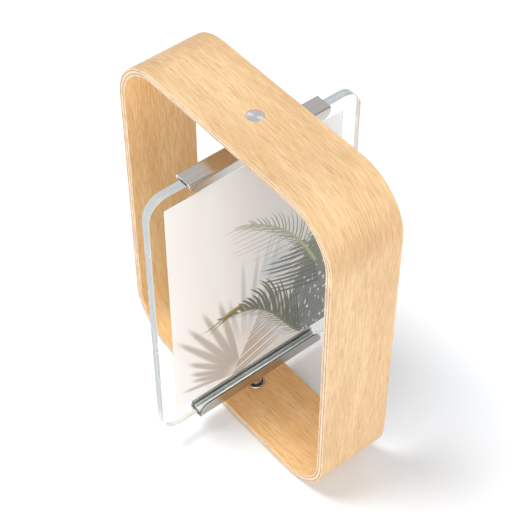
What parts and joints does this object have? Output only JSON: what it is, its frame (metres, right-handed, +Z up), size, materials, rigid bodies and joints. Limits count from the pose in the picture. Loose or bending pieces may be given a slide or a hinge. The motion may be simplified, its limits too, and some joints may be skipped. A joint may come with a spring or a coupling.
{
  "type": "swivel picture frame",
  "caption": "Bentwood rounded-rectangle hoop with a clear double-sided glass picture pack that turns inside it on a vertical pivot.",
  "frame": {"origin": "centre of the footprint, on the surface the feet stand on", "axes": "+Z up along the swivel axis; +X along the hoop's width; +Y along the hoop's depth, with the glass pack lying in the YZ plane at rest and its front glass facing +X"},
  "size_m": [0.187, 0.15, 0.2411],
  "materials": {
    "outer_ply": "satin lacquered birch face veneer, grain along the band",
    "core_ply": "pale core veneer, edge seen between two dark glue lines",
    "inner_ply": "satin lacquered birch inner veneer",
    "top_bushing": "moulded nylon flanged bushing",
    "bottom_bushing": "moulded nylon flanged bushing",
    "foot_front_left": "felt pad",
    "foot_front_right": "felt pad",
    "foot_rear_left": "felt pad",
    "foot_rear_right": "felt pad",
    "front_glass": "clear float glass, ground edge",
    "rear_glass": "clear float glass, ground edge",
    "front_print": null,
    "rear_print": null,
    "top_clip": "bent sheet channel, brushed lengthwise",
    "bottom_clip": "bent sheet channel, brushed lengthwise",
    "top_clip_liner": "soft light grey channel gasket",
    "bottom_clip_liner": "soft light grey channel gasket",
    "top_pivot_pin": "turned stainless head, face turned in fine rings",
    "bottom_pivot_pin": "turned stainless head, face turned in fine rings",
    "top_thrust_washer": "stamped steel washer",
    "wave_washer": "spring steel washer with three waves",
    "top_spacer": "turned sleeve",
    "post_flange": "turned ring with rounded edges",
    "friction_washer": "dark friction washer",
    "bottom_post": "turned post"
  },
  "bodies": {
    "hoop": {"outer_ply": "outer_ply", "core_ply": "core_ply", "inner_ply": "inner_ply", "top_bushing": "top_bushing", "bottom_bushing": "bottom_bushing", "foot_front_left": "foot_front_left", "foot_front_right": "foot_front_right", "foot_rear_left": "foot_rear_left", "foot_rear_right": "foot_rear_right", "top_thrust_washer": "top_thrust_washer", "post_flange": "post_flange"},
    "glass_pack": {"front_glass": "front_glass", "rear_glass": "rear_glass", "front_print": "front_print", "rear_print": "rear_print", "top_clip": "top_clip", "bottom_clip": "bottom_clip", "top_clip_liner": "top_clip_liner", "bottom_clip_liner": "bottom_clip_liner", "top_pivot_pin": "top_pivot_pin", "bottom_pivot_pin": "bottom_pivot_pin", "wave_washer": "wave_washer", "top_spacer": "top_spacer", "friction_washer": "friction_washer", "bottom_post": "bottom_post"}
  },
  "joints": [
    {"name": "glass_swivel", "type": "hinge", "parent": "hoop", "child": "glass_pack", "pos_m": [0, 0, 0.12], "axis": [0, 0, 1], "continuous": true}
  ]
}
